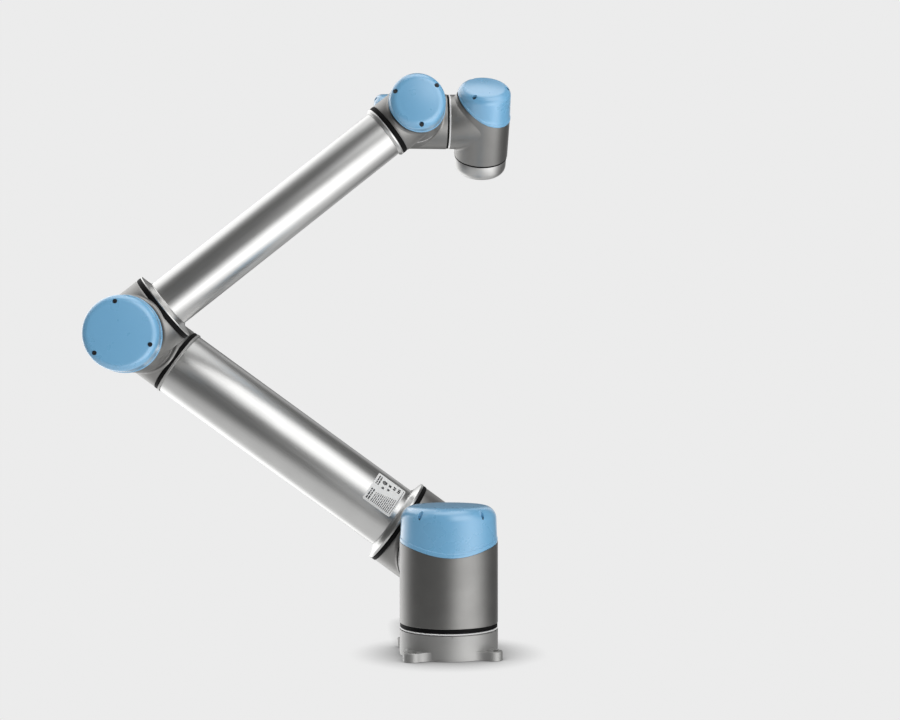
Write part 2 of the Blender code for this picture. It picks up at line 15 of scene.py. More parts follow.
import bmesh
import bpy
from mathutils import Matrix, Vector
from mathutils.bvhtree import BVHTree
from mathutils.interpolate import poly_3d_calc


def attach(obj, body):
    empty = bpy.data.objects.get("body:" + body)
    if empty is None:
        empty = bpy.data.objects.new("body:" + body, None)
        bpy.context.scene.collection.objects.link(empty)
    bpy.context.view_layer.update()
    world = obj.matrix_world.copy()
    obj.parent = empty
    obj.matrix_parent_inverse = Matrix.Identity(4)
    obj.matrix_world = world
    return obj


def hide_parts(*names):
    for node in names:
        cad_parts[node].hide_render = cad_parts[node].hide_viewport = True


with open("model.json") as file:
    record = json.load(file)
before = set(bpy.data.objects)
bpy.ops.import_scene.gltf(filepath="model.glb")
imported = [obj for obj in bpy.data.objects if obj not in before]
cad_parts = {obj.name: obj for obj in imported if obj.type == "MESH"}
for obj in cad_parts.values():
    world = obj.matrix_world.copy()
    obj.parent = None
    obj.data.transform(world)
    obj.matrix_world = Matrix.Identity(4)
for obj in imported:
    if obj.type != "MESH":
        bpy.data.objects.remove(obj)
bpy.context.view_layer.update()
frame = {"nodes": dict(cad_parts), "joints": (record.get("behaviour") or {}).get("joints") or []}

MM = 0.001
GAP = 0.3 * MM  # clearance between pieces that touch
NECK = 0.6  # radius of a turning end's neck, as a share of the casting's
EDGE_LENGTH = 2.4 * MM  # slanted edge at the end of a branch
EDGE_DEPTH = 1.1 * MM

# Mounting bracket
BRACKET_RADIUS = 0.0755
BRACKET_TOP = 0.0409
BRACKET_FLOOR = 0.006
BRACKET_BORE = 0.0685
FOOT_THICKNESS = 0.013
FOOT_RADIUS = 0.0750
LUG_CIRCLE = 0.086
LUG_RADIUS = 0.014
LUG_FILLET = 0.024
LUG_TURN = radians(47.0)
BOLT_HOLE_RADIUS = 0.00425
COUNTERBORE_RADIUS = 0.0072
COUNTERBORE_DEPTH = 0.003
GLAND_HEIGHT = 0.0210
GLAND_RADIUS = 0.008

# Ends of the branches, from their modules' axes
SHOULDER_BRANCH_END = 0.082
ELBOW_BRANCH_END = 0.0602
FOREARM_BRANCH_END = 0.062
WRIST_BRANCH_END = 0.0523

# Tool flange, measured from the wrist 3 centre
TOOL_FACE = 0.0905
TOOL_REACH = 0.0622
TOOL_RADIUS = 0.0435
TOOL_FACE_RADIUS = 0.0315
CENTRING_RADIUS = 0.01575
CENTRING_DEPTH = 0.006
TOOL_PASSAGE = 0.006
TOOL_BOLT_CIRCLE = 0.025
CONNECTOR_HEIGHT = -0.0715

# Fineness of the surfaces
ROUND = 128  # sides of a large turned piece
SMALL_ROUND = 40  # sides of a screw or a hole
ARC_STEP = radians(18.0)  # largest turn between two points of a rounding
FILLET_STEPS = 9
WALL_STEPS = 5  # on the straight part of a cap's side
BEND_STEPS = 10  # on the rounding above it
WELD = 0.01 * MM  # points nearer than this are one
NORMAL_REACH = 0.06 * MM  # how near a cut surface is for its shading to be borrowed
SAME_WAY = 0.8  # least cosine between that surface and the face


@dataclass(frozen=True)
class Size:
    """One size of joint module. Heights are measured along the joint's axis."""

    radius: float  # casting
    lid_radius: float
    wall: float
    reach: float  # from the T's centre to the turning face
    seal: float  # width of the black ring at the turning face
    end_wall: float
    lid_top: float  # edge of the cap's top
    dome: float  # rise of the cap's top above its edge
    corner: float  # rounding of the cap's edge
    taper: float  # how much the cap narrows towards its top
    rim: tuple  # the cap's lower edge: opposite, between, side, branch
    fillet: float  # rounding between casting and branch
    lip: float  # height of the band along the cap's lower edge
    screw_circle: float
    screw_turns: tuple  # cap screws, in degrees from the side opposite the branch


LARGE = Size(radius=0.0755, lid_radius=0.0755, wall=0.0045, reach=0.0861, seal=0.0063,
             end_wall=0.008, lid_top=0.0985, dome=0.0016, corner=0.0200, taper=0.0022,
             rim=(0.0256, 0.0375, 0.0444, 0.0785), fillet=0.008, lip=0.0066,
             screw_circle=0.0695, screw_turns=(-131, -41, 41, 131))
MEDIUM = Size(radius=0.0583, lid_radius=0.0595, wall=0.0042, reach=0.08595, seal=0.0037,
              end_wall=0.008, lid_top=0.0900, dome=0.0020, corner=0.0120, taper=0.0020,
              rim=(0.0240, 0.0310, 0.0385, 0.0625), fillet=0.007, lip=0.0056,
              screw_circle=0.0478, screw_turns=(-120, 0, 120))
SMALL = Size(radius=0.0450, lid_radius=0.0455, wall=0.0040, reach=0.05745, seal=0.0024,
             end_wall=0.006, lid_top=0.0650, dome=0.0020, corner=0.0140, taper=0.0018,
             rim=(0.0082, 0.0093, 0.0182, 0.0505), fillet=0.006, lip=0.0046,
             screw_circle=0.0372, screw_turns=(-120, 0, 120))
RIM_STATIONS = (1.0, 0.6, 0.0, -1.0)


# ---- places from the frame

JOINTS = {joint["name"]: joint for joint in frame["joints"]}


def joint_place(name):
    return Vector(JOINTS[name]["pos_m"])


def local_frame(origin, z_axis, x_axis):
    """World matrix of a frame with its origin at a point."""
    z = Vector(z_axis).normalized()
    x = Vector(x_axis).normalized()
    y = z.cross(x)
    matrix = Matrix((x, y, z)).transposed().to_4x4()
    matrix.translation = Vector(origin)
    return matrix


UP = Vector((0.0, 0.0, 1.0))
BACK = Vector((0.0, 1.0, 0.0))
RIGHT = Vector((1.0, 0.0, 0.0))
SHOULDER = joint_place("shoulder_joint")
FORE_ELBOW = joint_place("elbow_joint")
ELBOW = Vector((FORE_ELBOW.x, SHOULDER.y, FORE_ELBOW.z))
WRIST_1 = joint_place("wrist_1_joint")
WRIST_2 = joint_place("wrist_2_joint")
WRIST_3 = joint_place("wrist_3_joint")
TOOL = Vector(JOINTS["wrist_3_joint"]["axis"]).normalized()
UPPER_ARM = (ELBOW - SHOULDER).normalized()
FOREARM = (WRIST_1 - FORE_ELBOW).normalized()


@dataclass(frozen=True)
class Module:
    """A T-shaped joint module and where it sits."""

    name: str
    body: str
    size: Size
    origin: Vector
    towards_lid: Vector
    towards_branch: Vector
    branch_radius: float
    branch_end: float
    reach: float
    driven: bool = True
    painted_highlight_edge: bool = False  # near-white painted highlight on the slanted edge at the end of the branch

    @property
    def world(self):
        return local_frame(self.origin, self.towards_lid, -self.towards_branch)

    @property
    def end(self):
        """Distance from the centre to the casting's turning end."""
        if not self.driven:
            return self.reach - GAP
        return self.reach - self.size.seal - GAP


WRIST_3_OFFSET = (WRIST_3 - WRIST_2).length
MODULES = (
    Module("base", "shoulder", LARGE, Vector((0.0, 0.0, SHOULDER.z)), UP, BACK,
           0.0738, SHOULDER.y - LARGE.reach - GAP, LARGE.reach),
    Module("shoulder", "upper_arm", LARGE, SHOULDER, BACK, UPPER_ARM,
           0.0738, SHOULDER_BRANCH_END, LARGE.reach),
    Module("elbow", "upper_arm", MEDIUM, ELBOW, BACK, -UPPER_ARM,
           0.0560, ELBOW_BRANCH_END, MEDIUM.reach),
    Module("forearm_elbow", "forearm", MEDIUM, FORE_ELBOW, -BACK, FOREARM,
           0.0576, FOREARM_BRANCH_END, MEDIUM.reach, driven=False),
    Module("wrist_1", "forearm", SMALL, WRIST_1, -BACK, -FOREARM,
           0.0432, WRIST_BRANCH_END, SMALL.reach),
    Module("wrist_2", "wrist_1", SMALL, WRIST_2, -RIGHT, -BACK,
           0.0446, SMALL.reach - GAP, WRIST_3_OFFSET / 2, painted_highlight_edge=True),
    Module("wrist_3", "wrist_2", SMALL, WRIST_3, -TOOL, -RIGHT,
           0.0446, WRIST_3_OFFSET / 2 - GAP, TOOL_REACH, painted_highlight_edge=True),
)


# ---- materials

PLACE = "place"  # attribute that holds each point's place in the local frame
COLOUR_A, COLOUR_B = 6, 7  # a Mix node's colour sockets
COLOUR_RESULT = 2


class Nodes:
    """A node tree, with helpers that add nodes and link them."""

    def __init__(self, tree):
        self.tree = tree

    def node(self, kind, sockets=None, **settings):
        """Adds a node. Each of its sockets is given a value or another node's output."""
        node = self.tree.nodes.new(kind)
        for key, value in settings.items():
            setattr(node, key, value)
        for key, value in (sockets or {}).items():
            if isinstance(value, bpy.types.NodeSocket):
                self.tree.links.new(value, node.inputs[key])
            else:
                node.inputs[key].default_value = value
        return node

    def math(self, operation, *values):
        sockets = dict(enumerate(values))
        return self.node("ShaderNodeMath", sockets, operation=operation).outputs[0]


class Finish(Nodes):
    """A material on a Principled shader, with helpers for the textures that vary it.

    Its textures follow each piece's own frame, which add_piece keeps as an attribute. A
    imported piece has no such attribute, so its finish follows its object instead.
    """

    def __init__(self, name, colour, roughness, metallic=0.0, packed=False, **sockets):
        self.material = bpy.data.materials.new(name)
        self.material.use_nodes = True
        super().__init__(self.material.node_tree)
        self.colour = colour
        self.roughness = roughness
        self.inputs = self.tree.nodes["Principled BSDF"].inputs
        self.inputs["Base Color"].default_value = (*colour, 1.0)
        self.inputs["Roughness"].default_value = roughness
        self.inputs["Metallic"].default_value = metallic
        for socket, value in sockets.items():
            self.inputs[socket.replace("_", " ")].default_value = value
        if packed:
            self.place = self.node("ShaderNodeTexCoord").outputs["Object"]
        else:
            self.place = self.node("ShaderNodeAttribute", attribute_name=PLACE).outputs["Vector"]

    def steer(self, socket, source):
        """Lets a texture decide one of the shader's values."""
        self.tree.links.new(source, self.inputs[socket])

    def stretched(self, scale):
        """Local coordinates multiplied by a scale along each axis."""
        sockets = {"Vector": self.place, "Scale": scale}
        return self.node("ShaderNodeMapping", sockets).outputs[0]

    def turned_place(self):
        """Distance from the local Z axis and height along it, for marks that run round."""
        x, y, z = self.node("ShaderNodeSeparateXYZ", {0: self.place}).outputs
        radius = self.math("SQRT", self.math("ADD", self.math("MULTIPLY", x, x),
                                             self.math("MULTIPLY", y, y)))
        return self.node("ShaderNodeCombineXYZ", {0: radius, 1: z}).outputs[0]

    def noise(self, scale, detail=2.0, place=None):
        sockets = {"Vector": place or self.place, "Scale": scale, "Detail": detail}
        return self.node("ShaderNodeTexNoise", sockets).outputs[0]

    def ranged(self, source, low, high, from_low=0.3, from_high=0.7):
        sockets = {"Value": source, "From Min": from_low, "From Max": from_high,
                   "To Min": low, "To Max": high}
        return self.node("ShaderNodeMapRange", sockets).outputs[0]

    def blend_colours(self, factor, first, second):
        sockets = {"Factor": factor, COLOUR_A: (*first, 1.0), COLOUR_B: (*second, 1.0)}
        return self.node("ShaderNodeMix", sockets, data_type="RGBA").outputs[COLOUR_RESULT]

    def varied(self, colour_source, share, gloss_source, spread, *bumps):
        """The material, with textures that decide its colour, roughness and bumps.

        The colour is a share darker where its source is low and lighter where it is high.
        Roughness goes up and down by the spread. A bump is a source and a depth in metres.
        """
        dark = tuple(part * (1.0 - share) for part in self.colour)
        light = tuple(min(1.0, part * (1.0 + share)) for part in self.colour)
        factor = self.ranged(colour_source, 0.0, 1.0)
        self.steer("Base Color", self.blend_colours(factor, dark, light))
        self.rough_and_bumped(gloss_source, spread, *bumps)
        return self.material

    def rough_and_bumped(self, gloss_source, spread, *bumps):
        self.steer("Roughness", self.ranged(gloss_source, self.roughness - spread,
                                            self.roughness + spread))
        normal = None
        for source, depth in bumps:
            sockets = {"Strength": 1.0, "Distance": depth, "Height": source}
            if normal is not None:
                sockets["Normal"] = normal
            normal = self.node("ShaderNodeBump", sockets).outputs[0]
        if normal is not None:
            self.steer("Normal", normal)


def make_material(name, colour, roughness, metallic=0.0, *, cloud, grain, depth=0.0,
                  fine=None, lay=None, packed=False, **sockets):
    """Material whose colour follows a cloud, and whose gloss and bumps follow a grain.

    Cloud and grain are the scale and the detail of a noise and how much it changes. Fine
    is the scale and the depth of smaller bumps. Lay is the way that the grain runs: round
    the local axis, or stretched by a scale along each axis.
    """
    finish = Finish(name, colour, roughness, metallic, packed, **sockets)
    where = None
    if lay == "round":
        where = finish.turned_place()
    elif lay:
        where = finish.stretched(lay)
    texture = finish.noise(*grain[:2], where)
    bumps = [(texture, depth)] if depth else []
    if fine:
        bumps.append((finish.noise(fine[0]), fine[1]))
    return finish.varied(finish.noise(*cloud[:2]), cloud[2], texture, grain[2], *bumps)


def make_turned_metal(name, colour, roughness, depth, metallic=1.0, packed=False):
    """Machined aluminium with the fine rings that a lathe leaves."""
    return make_material(name, colour, roughness, metallic, cloud=(40.0, 3.0, 0.04),
                         grain=(2400.0, 2.0, 0.06), depth=depth, lay="round",
                         fine=(1500.0, 0.004 * MM), packed=packed)


def make_steel(name, colour, packed=False):
    """Ground steel, with short scratches and darker oiled patches."""
    return make_material(name, colour, 0.32, 1.0, cloud=(70.0, 3.0, 0.15),
                         grain=(1.0, 4.0, 0.09), depth=0.006 * MM,
                         lay=(2200.0, 320.0, 2200.0), packed=packed)


def make_winding_material():
    """Lacquered copper windings, as close lines round the motor."""
    finish = Finish("winding_copper", (0.48, 0.20, 0.085), 0.34, 0.9, True)
    sockets = {"Vector": finish.place, "Scale": 180.0, "Distortion": 1.5}
    wires = finish.node("ShaderNodeTexWave", sockets, bands_direction="Z").outputs["Fac"]
    return finish.varied(wires, 0.25, finish.noise(300.0), 0.08, (wires, 0.25 * MM))


def make_board_material():
    """Green circuit board with solder pads."""
    finish = Finish("board_green", (0.018, 0.110, 0.042), 0.42, 0.0, True)
    sockets = {"Vector": finish.place, "Scale": 240.0}
    cells = finish.node("ShaderNodeTexVoronoi", sockets, distance="CHEBYCHEV")
    pads = finish.ranged(cells.outputs["Distance"], 1.0, 0.0, 0.16, 0.20)
    solder = (0.42, 0.36, 0.24)
    finish.steer("Base Color", finish.blend_colours(pads, finish.colour, solder))
    finish.steer("Metallic", pads)
    finish.rough_and_bumped(finish.noise(900.0), 0.08, (pads, 0.06 * MM))
    return finish.material


# Moulded blue plastic: a fine spark-eroded grain and slightly uneven gloss
CAP = make_material("cap_blue", (0.202, 0.512, 0.810), 0.28, cloud=(34.0, 3.0, 0.010),
                    grain=(34.0, 3.0, 0.015), fine=(1500.0, 0.0015 * MM), IOR=1.9,
                    Coat_Weight=0.6, Coat_Roughness=0.17)
# Blasted and anodised aluminium
CASTING = make_material("casting_grey", (0.290, 0.287, 0.280), 0.40, 0.92,
                        cloud=(26.0, 4.0, 0.06), grain=(1500.0, 4.0, 0.06),
                        depth=0.014 * MM, fine=(160.0, 0.010 * MM))
# Satin anodised, with faint drawing lines along the tube
TUBE = make_material("tube_satin", (0.640, 0.640, 0.632), 0.31, 1.0,
                     cloud=(22.0, 3.0, 0.03), grain=(1.0, 3.0, 0.03), depth=0.0015 * MM,
                     lay=(900.0, 900.0, 9.0), fine=(1800.0, 0.003 * MM))
MACHINED = make_turned_metal("machined_aluminium", (0.450, 0.448, 0.440), 0.46, 0.004 * MM, 0.7)
FLANGE = make_turned_metal("flange_aluminium", (0.560, 0.557, 0.548), 0.30, 0.006 * MM,
                           packed=True)
SATIN = make_turned_metal("satin_aluminium", (0.560, 0.558, 0.550), 0.40, 0.003 * MM)
# Near-white with little metal: a painted highlight, the bright line that a chamfered edge catches
EDGE_HIGHLIGHT_PAINT = make_turned_metal("edge_highlight_paint", (0.970, 0.970, 0.965), 0.30, 0.002 * MM, 0.10)
RUBBER = make_material("rubber_black", (0.0035, 0.0035, 0.0038), 0.60,
                       cloud=(60.0, 3.0, 0.25), grain=(1300.0, 4.0, 0.08),
                       depth=0.02 * MM, Specular_IOR_Level=0.12)
PLASTIC = make_material("plastic_black", (0.026, 0.026, 0.028), 0.46,
                        cloud=(90.0, 2.0, 0.12), grain=(2200.0, 3.0, 0.06),
                        depth=0.012 * MM)
DARK_STEEL = make_steel("screw_steel", (0.090, 0.092, 0.096))
GEAR_STEEL = make_steel("gear_steel", (0.420, 0.420, 0.430), True)
COPPER = make_winding_material()
BOARD = make_board_material()
PLATE_WHITE = make_material("plate_white", (0.92, 0.92, 0.91), 0.42,
                            cloud=(120.0, 3.0, 0.03), grain=(900.0, 2.0, 0.06),
                            fine=(700.0, 0.006 * MM))
PLATE_INK = make_material("plate_ink", (0.035, 0.035, 0.038), 0.5,
                          cloud=(2500.0, 2.0, 0.3), grain=(1500.0, 2.0, 0.06))


# ---- mesh making

def rounded(points):
    """Closed profile of (radius, height, rounding) corners, with each corner made an arc."""
    result = []
    for i, (radius, height, rounding) in enumerate(points):
        here = Vector((radius, height))
        if rounding == 0:
            result.append(tuple(here))
            continue
        before = (Vector(points[i - 1][:2]) - here).normalized()
        after = (Vector(points[(i + 1) % len(points)][:2]) - here).normalized()
        half = before.angle(after) / 2
        centre = here + (before + after).normalized() * rounding / sin(half)
        reach = rounding / tan(half)
        start = here + before * reach - centre
        end = here + after * reach - centre
        turn = atan2(start.x * end.y - start.y * end.x, start.dot(end))
        steps = max(2, round(abs(turn) / ARC_STEP))
        for k in range(steps + 1):
            angle = turn * k / steps
            point = centre + Matrix.Rotation(angle, 2) @ start
            result.append(tuple(point))
    return result


def polar(radius, turn, *height):
    """Point at a turn round the Z axis, flat or at a height."""
    return (radius * cos(turn), radius * sin(turn), *height)


def arc(centre, radius, start, end, steps):
    """Points of an arc, ends included."""
    places = [polar(radius, start + (end - start) * i / steps) for i in range(steps + 1)]
    return [(centre[0] + x, centre[1] + y) for x, y in places]


def plug(radius, start, end):
    """Profile of a plain cylinder between two heights."""
    return [(0.0, start), (radius, start), (radius, end), (0.0, end)]


def finished(name, shape, sharp_degrees=30.0):
    """Mesh of a bmesh, shaded smooth apart from its sharp edges."""
    bmesh.ops.recalc_face_normals(shape, faces=shape.faces)
    mesh = bpy.data.meshes.new(name)
    shape.to_mesh(mesh)
    shape.free()
    mesh.shade_smooth()
    mesh.set_sharp_from_angle(angle=radians(sharp_degrees))
    return mesh


def turned(name, outline, sides=ROUND, sharp_degrees=30.0):
    """Solid turned about Z from a closed profile of (radius, height) pairs."""
    shape = bmesh.new()
    rings = []
    for radius, height in outline:
        if radius < 1e-7:
            rings.append([shape.verts.new((0.0, 0.0, height))] * sides)
            continue
        rings.append([shape.verts.new(polar(radius, tau * k / sides, height))
                      for k in range(sides)])
    return finished(name, skinned(shape, rings), sharp_degrees)


def skinned(shape, rings):
    """Adds the faces between each ring of corners and the next, the last and first included.

    A ring that shrinks to a point repeats one corner.
    """
    for i, ring in enumerate(rings):
        other = rings[(i + 1) % len(rings)]
        for k, corner in enumerate(ring):
            j = (k + 1) % len(ring)
            corners = list(dict.fromkeys((corner, other[k], other[j], ring[j])))
            if len(corners) > 2:
                shape.faces.new(corners)
    return shape


def prism(name, outline, low, high, edge=0.0):
    """Flat outline in the XY plane as a solid between two heights, its top edge rounded."""
    shape = bmesh.new()
    floor = [shape.verts.new((x, y, low)) for x, y in outline]
    shape.faces.new(floor)
    grown = bmesh.ops.extrude_face_region(shape, geom=list(shape.faces))
    top = [item for item in grown["geom"] if isinstance(item, bmesh.types.BMVert)]
    bmesh.ops.translate(shape, vec=(0.0, 0.0, high - low), verts=top)
    if edge > 0:
        chosen = set(top)
        edges = [item for item in shape.edges if set(item.verts) <= chosen]
        bmesh.ops.bevel(shape, geom=edges, offset=edge, segments=4, profile=0.5,
                        affect="EDGES")
    return finished(name, shape)


def moved(mesh, matrix):
    mesh.transform(matrix)
    return mesh


def drilled(outline, place):
    """Cut for combined: a small turned hole, moved to its place."""
    return ("DIFFERENCE", moved(turned("hole", outline, SMALL_ROUND), place))


def new_object(name, data):
    """Object in the scene for a mesh or a camera."""
    item = bpy.data.objects.new(name, data)
    bpy.context.scene.collection.objects.link(item)
    return item


def surface_tree(mesh):
    corners = [vertex.co.copy() for vertex in mesh.vertices]
    return BVHTree.FromPolygons(corners, [tuple(face.vertices) for face in mesh.polygons])


def borrowed_normal(trees, place, facing):
    """Normal at a point, taken from the cut surface there that faces the same way."""
    best, found = SAME_WAY, None
    for mesh, tree in trees:
        for spot, normal, index, _ in tree.find_nearest_range(place, NORMAL_REACH):
            match = abs(normal.dot(facing))
            if match > best:
                best, found = match, (mesh, index, spot)
    if found is None:
        return None
    mesh, index, spot = found
    loops = mesh.polygons[index].loop_indices
    around = [mesh.vertices[mesh.loops[i].vertex_index].co for i in loops]
    weights = poly_3d_calc(around, spot)
    normal = Vector()
    for weight, i in zip(weights, loops):
        normal += mesh.corner_normals[i].vector * weight
    if normal.length < 1e-6:
        return None
    return normal.normalized() if normal.dot(facing) > 0 else -normal.normalized()


def combined(name, base, cuts):
    """Base after each (operation, mesh) Boolean in turn, shaded as its source surfaces are."""
    sources = [base] + [mesh for _, mesh in cuts]
    helper = new_object(name, base)
    tools = []
    for operation, mesh in cuts:
        tools.append(new_object("tool", mesh))
        modifier = helper.modifiers.new("cut", "BOOLEAN")
        modifier.operation = operation
        modifier.object = tools[-1]
        modifier.solver = "EXACT"
    evaluated = helper.evaluated_get(bpy.context.evaluated_depsgraph_get())
    result = bpy.data.meshes.new_from_object(evaluated)
    for item in [helper] + tools:
        bpy.data.objects.remove(item, do_unlink=True)
    shape = bmesh.new()
    shape.from_mesh(result)
    bmesh.ops.remove_doubles(shape, verts=shape.verts, dist=WELD)
    bmesh.ops.dissolve_degenerate(shape, edges=shape.edges, dist=WELD)
    shape.to_mesh(result)
    shape.free()
    result.name = name
    result.shade_smooth()
    trees = [(mesh, surface_tree(mesh)) for mesh in sources]
    normals = [None] * len(result.loops)
    for face in result.polygons:
        for i in face.loop_indices:
            place = result.vertices[result.loops[i].vertex_index].co
            normals[i] = borrowed_normal(trees, place, face.normal) or face.normal
    result.normals_split_custom_set(normals)
    return result


def add_piece(name, mesh, world, body, material, replaces=()):
    """A shown piece: its mesh in world space, its finish, and the body that carries it."""
    mesh.name = name
    place = mesh.attributes.new(PLACE, "FLOAT_VECTOR", "POINT")
    for vertex, entry in zip(mesh.vertices, place.data):
        entry.vector = vertex.co
    mesh.transform(world)
    for item in material if isinstance(material, (list, tuple)) else [material]:
        mesh.materials.append(item)
    piece = new_object(name, mesh)
    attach(piece, body)
    if replaces:
        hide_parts(*replaces)
    return piece


# ---- joint modules

def rim_height(size, x):
    """Height of the cap's lower edge, a cubic through the four heights of size.rim."""
    share = x / size.radius
    height = 0.0
    for i, station in enumerate(RIM_STATIONS):
        weight = 1.0
        for j, other in enumerate(RIM_STATIONS):
            if j != i:
                weight *= (share - other) / (station - other)
        height += weight * size.rim[i]
    return height


def above_rim(size):
    """Block of everything over the cap's lower edge."""
    steps = 56
    span = 1.18 * size.radius
    stations = [span * (2 * i / steps - 1) for i in range(steps + 1)]
    outline = [(x, rim_height(size, x)) for x in stations]
    outline += [(span, size.lid_top + 0.05), (-span, size.lid_top + 0.05)]
    block = prism("above_rim", outline, -1.3 * size.radius, 1.3 * size.radius)
    return moved(block, Matrix.Rotation(pi / 2, 4, "X"))


def branch_plug(module):
    """Branch with the rounding that joins it to the casting, closed at both ends.

    The rounding is what a ball leaves when it rolls round the corner between the two
    cylinders. It is let into the casting by a hair, so that the two surfaces cross.
    """
    size = module.size
    casting = size.radius - 0.03 * MM
    branch = module.branch_radius
    ball = size.fillet
    shape = bmesh.new()
    columns = []
    for k in range(ROUND):
        angle = tau * k / ROUND
        side, height = cos(angle), sin(angle)
        centre = Vector((0.0, (branch + ball) * side, (branch + ball) * height))
        centre.x = -sqrt((casting + ball) ** 2 - centre.y ** 2)
        to_casting = Vector((-centre.x, -centre.y, 0.0)).normalized()
        to_branch = Vector((0.0, -centre.y, -centre.z)).normalized()
        column = [Vector((0.0, (branch - 0.3 * MM) * side, (branch - 0.3 * MM) * height))]
        for i in range(FILLET_STEPS + 1):
            share = i / FILLET_STEPS
            toward = to_casting.slerp(to_branch, share)
            column.append(centre + toward * ball)
        end = module.branch_end
        column.append(Vector((EDGE_LENGTH - end, branch * side, branch * height)))
        column.append(Vector((-end, (branch - EDGE_DEPTH) * side,
                              (branch - EDGE_DEPTH) * height)))
        columns.append([shape.verts.new(place) for place in column])
    for k in range(ROUND):
        here, there = columns[k], columns[(k + 1) % ROUND]
        for i in range(len(here) - 1):
            shape.faces.new((here[i], here[i + 1], there[i + 1], there[i]))
    shape.faces.new([column[0] for column in columns])
    shape.faces.new([column[-1] for column in reversed(columns)])
    return finished("branch", shape)


def make_housing(module):
    size = module.size
    along_branch = Matrix.Rotation(-pi / 2, 4, "Y")
    top = size.rim[-1] + 0.006
    low = -module.end
    body = turned("body", rounded([(0.0, top, 0), (size.radius, top, 0),
                                   (size.radius, low, 0.9 * MM), (0.0, low, 0)]))
    bore = size.radius - size.wall
    if module.driven:
        neck = NECK * size.radius + 0.8 * MM
        inside = low + size.end_wall
        hollow = [(0.0, top + 0.002), (bore, top + 0.002), (bore, inside), (neck, inside),
                  (neck, low - 0.002), (0.0, low - 0.002)]
    else:
        hollow = plug(bore, top + 0.002, low - 0.002)
    passage = plug(module.branch_radius - size.wall, 0.001, module.branch_end + 0.002)
    mesh = combined("housing", body, [
        ("UNION", branch_plug(module)),
        ("DIFFERENCE", above_rim(size)),
        ("DIFFERENCE", turned("hollow", hollow)),
        ("DIFFERENCE", moved(turned("passage", passage), along_branch)),
    ])
    # The slanted edge at the branch's end gets the near-white painted highlight
    if module.painted_highlight_edge:
        for face in mesh.polygons:
            in_edge = -face.center.x > module.branch_end - EDGE_LENGTH
            if in_edge and 0.3 < abs(face.normal.x) < 0.95:
                face.material_index = 1
    add_piece(f"{module.name}_casting", mesh, module.world, module.body,
              [CASTING, EDGE_HIGHLIGHT_PAINT], [f"{module.name}_housing"])


# ---- caps

CAP_STEP = 0.0006  # how far the band along the lower edge stands proud
CAP_SKIN = 0.003
HEAD_RADIUS = 0.0032
HEAD_HEIGHT = 0.0017
WELL_RADIUS = 0.0037
WELL_FLOOR = 0.0025  # what is left of the cap under a screw


def cap_side(size, start):
    """Outside of a cap from a height up to its edge: a tapered wall, then the rounding.

    Every column of the cap gets the same number of points, so where the wall is short
    the first few of them lie on the rounding.
    """
    upper = size.lid_radius - size.taper
    centre = (upper - size.corner, size.lid_top - size.corner)
    slope = (size.taper - CAP_STEP) / (centre[1] - min(size.rim) - size.lip)
    first = asin(min(1.0, max(0.0, (start - centre[1]) / size.corner)))
    wall = max(0.0, centre[1] - start)
    bend = size.corner * (pi / 2 - first)
    split = max(wall, 0.25 * (wall + bend))
    stops = [split * i / WALL_STEPS for i in range(WALL_STEPS)]
    stops += [split + (wall + bend - split) * i / BEND_STEPS for i in range(BEND_STEPS + 1)]
    points = []
    for stop in stops:
        if stop < wall:
            height = start + stop
            points.append((upper + slope * (centre[1] - height), height))
        else:
            angle = first + (stop - wall) / size.corner
            points.append((centre[0] + size.corner * cos(angle),
                           centre[1] + size.corner * sin(angle)))
    return points


def cap_column(size, turn):
    """Profile of a cap at one angle, as (radius, height) pairs, without those on the axis."""
    rim = rim_height(size, size.radius * cos(turn)) + GAP
    band = rim + min(size.lip, 0.35 * (size.lid_top - rim))
    wall = cap_side(size, band + 0.5 * MM)
    side = wall[0][0]
    outside = side + CAP_STEP + 0.3 * MM
    flat = size.lid_radius - size.taper - size.corner
    points = [(side - CAP_SKIN, rim), (outside - 0.5 * MM, rim),
              (outside - 0.1 * MM, rim + 0.2 * MM), (outside, rim + 0.7 * MM),
              (outside, band - 0.9 * MM), (outside - 0.15 * MM, band - 0.35 * MM),
              (outside - 0.5 * MM, band - 0.05 * MM), (side + 0.1 * MM, band + 0.1 * MM)]
    points += wall
    for i in range(1, 7):
        share = 1.0 - i / 7
        points.append((flat * share, size.lid_top + size.dome * (1.0 - share ** 2)))
    inset = side - CAP_SKIN
    ceiling = max(cap_ceiling(size), rim + 0.0008)
    return points, [(0.35 * inset, ceiling), (0.7 * inset, ceiling), (inset, ceiling)]


def cap_surface(size, radius):
    """Height of the cap's outside over its rounded edge."""
    edge = size.lid_radius - size.taper - size.corner
    reach = max(0.0, radius - edge)
    return size.lid_top - size.corner + sqrt(size.corner ** 2 - reach ** 2)


def screw_seat(size):
    """Height where a cap screw sits, so that its head stays under the rounding."""
    return cap_surface(size, size.screw_circle + HEAD_RADIUS) - HEAD_HEIGHT - GAP


def cap_ceiling(size):
    return screw_seat(size) - WELL_FLOOR


def cap_shell(size):
    """Cap as a closed shell: its height follows the rim, so each angle has its own column."""
    shape = bmesh.new()
    crown = shape.verts.new((0.0, 0.0, size.lid_top + size.dome))
    ceiling = shape.verts.new((0.0, 0.0, cap_ceiling(size)))
    columns = []
    for k in range(ROUND):
        turn = tau * k / ROUND
        outer, inner = ([shape.verts.new(polar(radius, turn, height))
                         for radius, height in points] for points in cap_column(size, turn))
        columns.append(outer + [crown, ceiling] + inner)
    return finished("cap", skinned(shape, list(zip(*columns))), 40.0)


